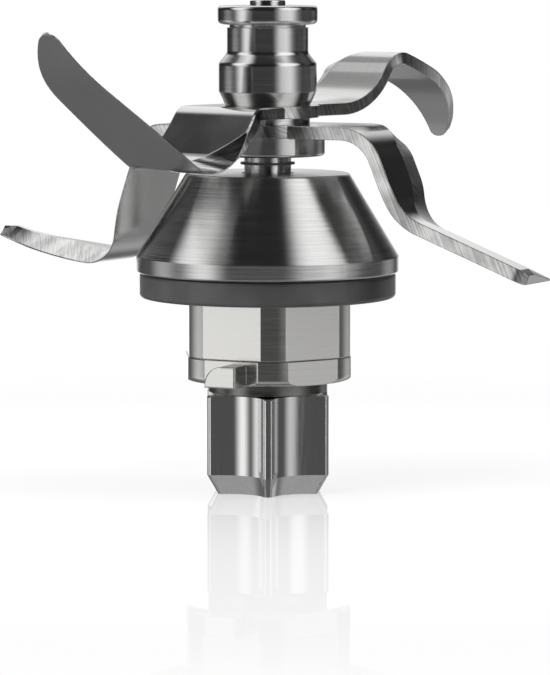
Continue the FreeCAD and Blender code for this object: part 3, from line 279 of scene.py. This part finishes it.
def ground_sheet(name, colour, azimuth, hatch_pitch):
    """Blade sheet: satin rolled faces with grain along the arms, and grinding lines across the bevels."""
    material, tree, shader = new_finish(name)
    coordinates = node(tree, "ShaderNodeTexCoord")
    turn = {"Rotation": (0.0, 0.0, -azimuth)}
    spot = node(tree, "ShaderNodeMapping", {**turn, "Vector": coordinates.outputs["Object"]}).outputs[0]
    facing = node(
        tree, "ShaderNodeMapping", {**turn, "Vector": coordinates.outputs["Normal"]}, vector_type="NORMAL")
    along, across, z = node(tree, "ShaderNodeSeparateXYZ", {0: spot}).outputs
    _, sideways, upwards = node(tree, "ShaderNodeSeparateXYZ", {0: facing.outputs[0]}).outputs
    sideways = maths(tree, "ABSOLUTE", sideways)
    upwards = maths(tree, "ABSOLUTE", upwards)
    ground = ramp(tree, sideways, *GROUND_FACES)
    level_face = maths(
        tree, "MAXIMUM", ramp(tree, upwards, *LEVEL_FACES), ramp(tree, sideways, *EDGE_FACES))
    # Rolled grain along the arms
    grain = noise(tree, vector(
        tree, maths(tree, "DIVIDE", along, GRAIN_RUN), maths(tree, "DIVIDE", across, GRAIN_PITCH),
        maths(tree, "DIVIDE", z, GRAIN_RUN)))
    cloud = noise(tree, in_units(tree, spot, CLOUD_SIZE))
    # Slanting grinding lines, coarser on steep faces, in lighter and darker patches
    slant = maths(tree, "MULTIPLY", maths(tree, "ADD", across, z), HATCH_SLANT)
    lengthways = noise(tree, vector(
        tree, maths(tree, "DIVIDE", maths(tree, "ADD", along, slant), hatch_pitch),
        maths(tree, "DIVIDE", across, HATCH_RUN), 0.0), detail=3.0, roughness=0.6)
    fall = maths(tree, "ADD", z, maths(tree, "MULTIPLY", across, HATCH_SLANT))
    downwards = noise(tree, vector(
        tree, maths(tree, "DIVIDE", fall, 2 * hatch_pitch),
        maths(tree, "DIVIDE", across, HATCH_RUN), 3.0), detail=3.0, roughness=0.6)
    patches = noise(tree, vector(
        tree, maths(tree, "DIVIDE", along, PATCH_SIZE), 0.0, maths(tree, "DIVIDE", z, PATCH_SIZE)))
    hatch = blend_value(tree, PATCH_SHARE, blend_value(tree, level_face, downwards, lengthways), patches)
    # Each property has its value on the rolled faces and on the ground ones
    shader.inputs["Metallic"].default_value = 1.0
    fine = blend_colour(tree, ramp(tree, grain, 0.3, 0.7), shade(colour, 0.97), shade(colour, 1.02))
    coarse = blend_colour(tree, ramp(tree, hatch, 0.38, 0.62), shade(colour, 0.55), shade(colour, 1.15))
    put(tree, shader.inputs["Base Color"], blend_colour(tree, ground, fine, coarse))
    soft = ramp(tree, cloud, 0.3, 0.7, 0.14, 0.19, smooth=False)
    rough = ramp(tree, hatch, 0.3, 0.7, 0.15, 0.24, smooth=False)
    put(tree, shader.inputs["Roughness"], blend_value(tree, ground, soft, rough))
    bump = node(tree, "ShaderNodeBump", {
        "Strength": 1.0, "Distance": blend_value(tree, ground, 0.0004 * MM, 0.005 * MM),
        "Height": blend_value(tree, ground, grain, hatch), "Normal": soft_edges(tree, SHEET_EDGE_RADIUS)})
    put(tree, shader.inputs["Normal"], bump.outputs[0])
    return material


def rubber_finish(name, colour, roughness=0.5, cloud_size=6 * MM, skin_size=0.35 * MM):
    """Moulded rubber: faint clouding, a soft shine and a fine skin."""
    material, tree, shader = new_finish(name)
    spot = object_spot(tree)
    wide = noise(tree, in_units(tree, spot, cloud_size))
    fine = noise(tree, in_units(tree, spot, skin_size))
    put(tree, shader.inputs["Base Color"],
        blend_colour(tree, ramp(tree, wide, 0.25, 0.75), shade(colour, 0.85), shade(colour, 1.15)))
    put(tree, shader.inputs["Roughness"],
        ramp(tree, wide, 0.3, 0.7, roughness - 0.06, roughness + 0.08, smooth=False))
    bump = node(tree, "ShaderNodeBump", {"Strength": 0.5, "Distance": 0.01 * MM, "Height": fine})
    put(tree, shader.inputs["Normal"], bump.outputs[0])
    return material


def wound_finish(name, colour, pitch):
    """Close turns of spring wire round the ring, one turn for each pitch angle, with painted shade in the
    grooves between them.
    """
    material, tree, shader = new_finish(name)
    x, y, _ = object_axes(tree)
    angle = maths(tree, "ARCTAN2", y, x)
    turns = maths(tree, "SINE", maths(tree, "MULTIPLY", angle, round(2 * math.pi / pitch)))
    shader.inputs["Metallic"].default_value = 1.0
    # Base colour falls to a quarter of the wire's tone in the grooves between the turns: painted shade
    put(tree, shader.inputs["Base Color"],
        blend_colour(tree, ramp(tree, turns, -1.0, 0.2), shade(colour, 0.25), shade(colour, 1.1)))
    put(tree, shader.inputs["Roughness"], ramp(tree, turns, -1.0, 1.0, 0.45, 0.25))
    bump = node(tree, "ShaderNodeBump", {"Strength": 1.0, "Distance": 0.08 * MM, "Height": turns})
    put(tree, shader.inputs["Normal"], bump.outputs[0])
    return material


def dress(material, *nodes):
    """Puts one finish on these pieces."""
    for name in nodes:
        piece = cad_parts[name]
        if not piece.material_slots:
            raise RuntimeError(f"{name} has no material slot")
        for place in piece.material_slots:
            place.link = "OBJECT"
            place.material = material


# One operator for each group of like pieces

class BLADEUNIT_OT_grind_blades(bpy.types.Operator):
    """Satin sheet and ground bevels for the two blades"""
    bl_idname = "blade_unit.grind_blades"
    bl_label = "Grind the Blades"

    def execute(self, context):
        finish = context.scene.blade_unit_finishes
        for blade, arms in (("lower_blade", LOWER_ARMS), ("upper_blade", UPPER_ARMS)):
            dress(ground_sheet(f"{blade}_steel", finish.blade_steel, arms, finish.hatch_pitch), blade)
        return {"FINISHED"}


class BLADEUNIT_OT_turn_hub(bpy.types.Operator):
    """Turned and polished hub, shaft, collar and blade washer"""
    bl_idname = "blade_unit.turn_hub"
    bl_label = "Turn the Hub and Shaft"

    def execute(self, context):
        finish = context.scene.blade_unit_finishes
        polished = steel_finish(
            "polished_steel", finish.polished_steel, turned_lines, finish.turned_pitch,
            roughness=0.17, spread=0.02, depth=0.0006 * MM, contrast=0.05, smear=0.95)
        dress(polished, "blade_hub", "drive_shaft", "spacer_collar", "blade_washer")
        return {"FINISHED"}


class BLADEUNIT_OT_turn_cone(bpy.types.Operator):
    """Turned cone housing with visible tool lines"""
    bl_idname = "blade_unit.turn_cone"
    bl_label = "Turn the Cone"

    def execute(self, context):
        finish = context.scene.blade_unit_finishes
        turned = steel_finish(
            "cone_steel", finish.polished_steel,
            lambda tree, pitch: turned_lines(tree, pitch, drift=14 * MM), finish.cone_pitch,
            roughness=0.22, spread=0.02, depth=0.0006 * MM, contrast=0.09, smear=1.0)
        dress(turned, "cone_housing")
        return {"FINISHED"}


class BLADEUNIT_OT_brush_housing(bpy.types.Operator):
    """Brushed six-sided housing and bayonet ring, turned cover"""
    bl_idname = "blade_unit.brush_housing"
    bl_label = "Brush the Housing"

    def execute(self, context):
        finish = context.scene.blade_unit_finishes
        brushed = steel_finish(
            "housing_steel", finish.housing_steel, level_lines, finish.brushed_pitch,
            roughness=0.18, spread=0.03, depth=0.0009 * MM, contrast=0.06, smear=0.9)
        dress(brushed, "bearing_housing", "bayonet_ring")
        # The cover's colour is partly painted shade of the gap under the housing
        cover = steel_finish(
            "shaded_cover_steel", finish.shaded_cover_steel, turned_lines, finish.turned_pitch,
            roughness=0.3, spread=0.05, depth=0.0015 * MM, smear=0.8)
        dress(cover, "bearing_cover")
        return {"FINISHED"}


class BLADEUNIT_OT_polish_coupling(bpy.types.Operator):
    """Polished star coupling with its screw and washer"""
    bl_idname = "blade_unit.polish_coupling"
    bl_label = "Polish the Coupling"

    def execute(self, context):
        finish = context.scene.blade_unit_finishes
        star = steel_finish(
            "coupling_steel", finish.polished_steel, upright_lines, 0.5 * MM,
            roughness=0.1, spread=0.02, depth=0.0003 * MM, contrast=0.04, edges=0.0)
        dress(star, "drive_coupling")
        screw = steel_finish(
            "screw_steel", finish.spring_steel, turned_lines, 0.2 * MM,
            roughness=0.35, spread=0.08, depth=0.004 * MM)
        dress(screw, "coupling_screw", "lock_washer")
        return {"FINISHED"}


class BLADEUNIT_OT_mould_seals(bpy.types.Operator):
    """Rubber of the sealing ring, the shaft seal and the small rings"""
    bl_idname = "blade_unit.mould_seals"
    bl_label = "Mould the Seals"

    def execute(self, context):
        finish = context.scene.blade_unit_finishes
        dress(rubber_finish("ring_rubber", finish.ring_rubber, 0.36), "sealing_ring")
        dress(rubber_finish("seal_rubber", finish.seal_rubber), "shaft_seal", "housing_o_ring")
        # The slinger's rubber colour is lifted as painted light
        dress(rubber_finish("slinger_rubber_with_painted_light", finish.slinger_rubber_with_painted_light), "slinger_washer")
        dress(wound_finish("garter_wire", finish.spring_steel, math.radians(3)), "garter_spring")
        case = steel_finish(
            "seal_case_steel", finish.spring_steel, turned_lines, finish.turned_pitch,
            roughness=0.32, spread=0.06, depth=0.003 * MM)
        dress(case, "seal_case")
        return {"FINISHED"}


class BLADEUNIT_OT_fit_bearings(bpy.types.Operator):
    """Ground races, balls, brass cages, spacer and preload washer of the bearings"""
    bl_idname = "blade_unit.fit_bearings"
    bl_label = "Fit the Bearings"

    def execute(self, context):
        finish = context.scene.blade_unit_finishes
        races = steel_finish(
            "race_steel", finish.polished_steel, turned_lines, 0.15 * MM,
            roughness=0.16, spread=0.04, depth=0.001 * MM, contrast=0.05)
        dress(races, "lower_inner_race", "lower_outer_race", "upper_inner_race", "upper_outer_race",
              "lower_balls", "upper_balls")
        cage = steel_finish(
            "cage_brass", finish.cage_brass, turned_lines, 0.3 * MM,
            roughness=0.35, spread=0.08, depth=0.003 * MM)
        dress(cage, "lower_ball_cage", "upper_ball_cage")
        spacer = steel_finish(
            "spring_steel", finish.spring_steel, turned_lines, finish.turned_pitch,
            roughness=0.3, spread=0.06, depth=0.003 * MM)
        dress(spacer, "bearing_spacer", "preload_washer")
        return {"FINISHED"}


# The studio that the metal mirrors. All its angles are in degrees, either round from the front or above
# the horizon. The foot, the hub, level faces and the cone look this high, and the ceiling starts last.
FOOT_VIEW, HUB_VIEW, LEVEL_VIEW, CONE_VIEW, CEILING_VIEW = -5.5, -2.2, 7, 40, 66
# Each soft box has its middle, half its width and its brightness as seen from the foot, from the hub and
# from the cone, then the width of its soft edge
SOFT_BOXES = (
    ((-57, 13, 1.1), (-60, 15, 1.25), (-83, 22, 1.2), 24),
    ((67, 14, 0.6), (43, 19, 1.6), (62, 28, 1.25), 26),
    ((180, 17, 1.15), (180, 17, 1.15), (189, 32, 1.15), 24),
    ((-105, 12, 0.8), (-107, 10, 0.02), (-107, 10, 0.0), 22),
    ((136, 11, 0.55), (98, 12, 0.06), (130, 16, 0.06), 20),
)
# Tone of the room between the boxes in the same three views, how much lighter its left side is, the tone
# high up on that side, and the ceiling's tone and soft edge
ROOM_TONE, LEFT_SIDE, HIGH_LEFT, CEILING, CEILING_EDGE = (0.1, 0.01, 0.02), (0.08, 0.02, 0.0), 0.46, 0.03, 6
# Middle, half width and soft edge of the room's sides and of the floor's lighter parts
LEFT_PART, HIGH_LEFT_PART = (-105, 35, 50), (-127, 26, 16)
BACK_RIGHT_PART, FRONT_PART = (140, 12, 20), (0, 112, 30)
# Heights between which the high left part and the floor set in
HIGH_LEFT_START, FLOOR_START = (47, 51.5), (-10, -29)
# Share of the backdrop that level faces mirror, at this distance from their view and farther from it
LEVEL_STRIP = (3.5, 9, 0.5, 1)
# Tone of the floor behind and in front, from one height to another, and at the back right
FLOOR_BEHIND, FLOOR_FRONT, FLOOR_BACK_RIGHT = (-38, -54, 0.16, 0.3), (-50, -62, 0.42, 0.14), 0.5

# Distances from the foot over which the floor's paint gives way to white, and where its gloss begins to fade
PAINT_FADE, GLOSS_START = (50 * MM, 200 * MM), 10 * MM
FLOOR_RADIUS = 3.0
# Each lamp has its place and its share of the power
LAMPS = {"lamp_left": ((-0.55, -0.45, 0.8), 1.25), "lamp_right": ((0.6, -0.1, 0.75), 0.75)}
LAMP_SIZE, LAMP_AIM = 0.6, Vector((0, 0, 0.05))
CAMERA_SPOT, CAMERA_AIM = Vector((1.55, -835.0, 115.86)), Vector((1.55, 0.0, 32.66))
CAMERA_LENS, CAMERA_SENSOR = 210.6, 36.0


class BLADEUNIT_OT_build_stage(bpy.types.Operator):
    """Pale floor, soft lamps, studio surroundings and the camera"""
    bl_idname = "blade_unit.build_stage"
    bl_label = "Build the Stage"

    def execute(self, context):
        stage = context.scene.blade_unit_stage
        self.surroundings(context, stage)
        self.floor(context, stage)
        self.lamps(context, stage)
        self.camera(context)
        return {"FINISHED"}

    def surroundings(self, context, stage):
        """Dark room with soft boxes, which only the metal mirrors; the camera sees white."""
        world = bpy.data.worlds.new("studio")
        context.scene.world = world
        world.use_nodes = True
        tree = world.node_tree
        tree.nodes.clear()
        way = node(tree, "ShaderNodeTexCoord").outputs["Generated"]
        x, y, z = node(tree, "ShaderNodeSeparateXYZ", {0: way}).outputs
        around = maths(tree, "DEGREES", maths(tree, "ARCTAN2", x, maths(tree, "MULTIPLY", y, -1.0)))
        up = maths(tree, "DEGREES", maths(tree, "ARCSINE", z))
        rise = ramp(tree, up, FOOT_VIEW, HUB_VIEW)
        lean = ramp(tree, up, HUB_VIEW, CONE_VIEW)

        def from_views(foot, hub, cone):
            return blend_value(tree, lean, blend_value(tree, rise, foot, hub), cone)

        def window(middle, half, fade):
            away = maths(tree, "ABSOLUTE", maths(
                tree, "WRAP", maths(tree, "SUBTRACT", around, middle), 180.0, -180.0))
            return ramp(tree, maths(tree, "SUBTRACT", away, half), -fade / 2, fade / 2, 1.0, 0.0)

        strength = maths(
            tree, "MULTIPLY_ADD", window(*LEFT_PART), from_views(*LEFT_SIDE), from_views(*ROOM_TONE))
        for *views, fade in SOFT_BOXES:
            middle, half, bright = (from_views(*part) for part in zip(*views))
            strength = maths(tree, "MULTIPLY_ADD", window(middle, half, fade), bright, strength)
        high_left = maths(tree, "MULTIPLY", window(*HIGH_LEFT_PART), ramp(tree, up, *HIGH_LEFT_START))
        strength = blend_value(tree, high_left, strength, HIGH_LEFT)
        overhead = ramp(tree, up, CEILING_VIEW - CEILING_EDGE, CEILING_VIEW + CEILING_EDGE)
        strength = blend_value(tree, overhead, strength, CEILING)
        from_level = maths(tree, "ABSOLUTE", maths(tree, "SUBTRACT", up, LEVEL_VIEW))
        strength = maths(tree, "MULTIPLY", strength, ramp(tree, from_level, *LEVEL_STRIP))
        strength = maths(tree, "MULTIPLY", strength, stage.box_strength)
        # Below the horizon lies the floor: lit in front and at the back right, dim behind and under the unit
        behind = blend_value(tree, window(*BACK_RIGHT_PART), ramp(tree, up, *FLOOR_BEHIND), FLOOR_BACK_RIGHT)
        floor_tone = blend_value(tree, window(*FRONT_PART), behind, ramp(tree, up, *FLOOR_FRONT))
        strength = blend_value(tree, ramp(tree, up, *FLOOR_START), strength, floor_tone)
        # The floor's mirror image shows the same white as the camera sees
        rays = node(tree, "ShaderNodeLightPath").outputs
        seen = maths(tree, "MAXIMUM", rays["Is Camera Ray"], rays["Is Singular Ray"])
        light = node(tree, "ShaderNodeBackground", {
            "Color": (1.0, 1.0, 1.0, 1.0), "Strength": blend_value(tree, seen, strength, 1.0)})
        out = node(tree, "ShaderNodeOutputWorld")
        tree.links.new(light.outputs[0], out.inputs["Surface"])

    def floor(self, context, stage):
        """Pale floor with a mirror image that fades away from the foot."""
        mesh = bpy.data.meshes.new("floor")
        shape = bmesh.new()
        bmesh.ops.create_circle(shape, cap_ends=True, radius=FLOOR_RADIUS, segments=96)
        shape.to_mesh(mesh)
        shape.free()
        floor = bpy.data.objects.new("floor", mesh)
        context.scene.collection.objects.link(floor)
        floor.visible_shadow = False
        material = bpy.data.materials.new("floor_paint")
        material.use_nodes = True
        tree = material.node_tree
        tree.nodes.clear()
        rays = node(tree, "ShaderNodeLightPath").outputs
        x, y, _ = object_axes(tree)
        away = from_axis(tree, x, y)
        # Paint that takes the unit's shadow, lifted by plain white near the foot and all white farther out
        paint = node(tree, "ShaderNodeBsdfDiffuse", {"Color": shade(stage.floor_colour, 1.0)}).outputs[0]
        white = node(tree, "ShaderNodeEmission", {"Strength": rays["Is Camera Ray"]}).outputs[0]
        lift = maths(tree, "MULTIPLY", rays["Is Camera Ray"], stage.floor_lift)
        near = blend_shader(tree, lift, paint, white)
        base = blend_shader(tree, ramp(tree, away, *PAINT_FADE), near, white)
        gloss = ramp(tree, away, GLOSS_START, stage.gloss_reach, stage.floor_gloss, 0.0, smooth=False)
        mirror = node(tree, "ShaderNodeBsdfGlossy", {"Roughness": 0.0}).outputs[0]
        # The metal mirrors the dim studio in the floor's place, and from below the floor is clear
        clear = node(tree, "ShaderNodeBsdfTransparent").outputs[0]
        from_below = node(tree, "ShaderNodeNewGeometry").outputs["Backfacing"]
        hidden = maths(tree, "MAXIMUM", rays["Is Glossy Ray"], from_below)
        shown = blend_shader(tree, hidden, blend_shader(tree, gloss, base, mirror), clear)
        out = node(tree, "ShaderNodeOutputMaterial")
        tree.links.new(shown, out.inputs["Surface"])
        mesh.materials.append(material)

    def lamps(self, context, stage):
        """Two soft lamps above, one each side."""
        for name, (spot, share) in LAMPS.items():
            lamp = bpy.data.lights.new(name, "AREA")
            lamp.energy = stage.lamp_power * share
            lamp.size = LAMP_SIZE
            holder = bpy.data.objects.new(name, lamp)
            context.scene.collection.objects.link(holder)
            holder.location = spot
            aim = LAMP_AIM - Vector(spot)
            holder.rotation_euler = aim.to_track_quat("-Z", "Y").to_euler()
            holder.visible_glossy = False

    def camera(self, context):
        """Long lens, a little above the blades, that looks slightly down."""
        camera = bpy.data.cameras.new("camera")
        camera.lens = CAMERA_LENS
        camera.sensor_width = CAMERA_SENSOR
        camera.clip_start, camera.clip_end = 0.01, 20.0
        holder = bpy.data.objects.new("camera", camera)
        context.scene.collection.objects.link(holder)
        holder.location = CAMERA_SPOT * MM
        aim = CAMERA_AIM * MM - holder.location
        holder.rotation_euler = aim.to_track_quat("-Z", "Y").to_euler()
        context.scene.camera = holder


class BLADEUNIT_PT_workshop(bpy.types.Panel):
    """Steps of the finish, in order"""
    bl_label = "Blade Unit"
    bl_idname = "BLADEUNIT_PT_workshop"
    bl_space_type = "VIEW_3D"
    bl_region_type = "UI"
    bl_category = "Blade Unit"

    def draw(self, context):
        layout = self.layout
        for operator in OPERATORS:
            layout.operator(operator.bl_idname)
        for group in (context.scene.blade_unit_finishes, context.scene.blade_unit_stage):
            box = layout.box()
            for name in group.__annotations__:
                box.prop(group, name)


OPERATORS = (
    BLADEUNIT_OT_grind_blades,
    BLADEUNIT_OT_turn_hub,
    BLADEUNIT_OT_turn_cone,
    BLADEUNIT_OT_brush_housing,
    BLADEUNIT_OT_polish_coupling,
    BLADEUNIT_OT_mould_seals,
    BLADEUNIT_OT_fit_bearings,
    BLADEUNIT_OT_build_stage,
)
CLASSES = (BladeUnitFinishes, BladeUnitStage, *OPERATORS, BLADEUNIT_PT_workshop)


def register():
    for item in CLASSES:
        bpy.utils.register_class(item)
    bpy.types.Scene.blade_unit_finishes = PointerProperty(type=BladeUnitFinishes)
    bpy.types.Scene.blade_unit_stage = PointerProperty(type=BladeUnitStage)


def unregister():
    del bpy.types.Scene.blade_unit_finishes
    del bpy.types.Scene.blade_unit_stage
    for item in reversed(CLASSES):
        bpy.utils.unregister_class(item)


def main():
    register()
    bpy.context.scene.view_settings.view_transform = "Standard"
    bpy.ops.blade_unit.grind_blades()
    bpy.ops.blade_unit.turn_hub()
    bpy.ops.blade_unit.turn_cone()
    bpy.ops.blade_unit.brush_housing()
    bpy.ops.blade_unit.polish_coupling()
    bpy.ops.blade_unit.mould_seals()
    bpy.ops.blade_unit.fit_bearings()
    bpy.ops.blade_unit.build_stage()


if __name__ == "__main__":
    main()
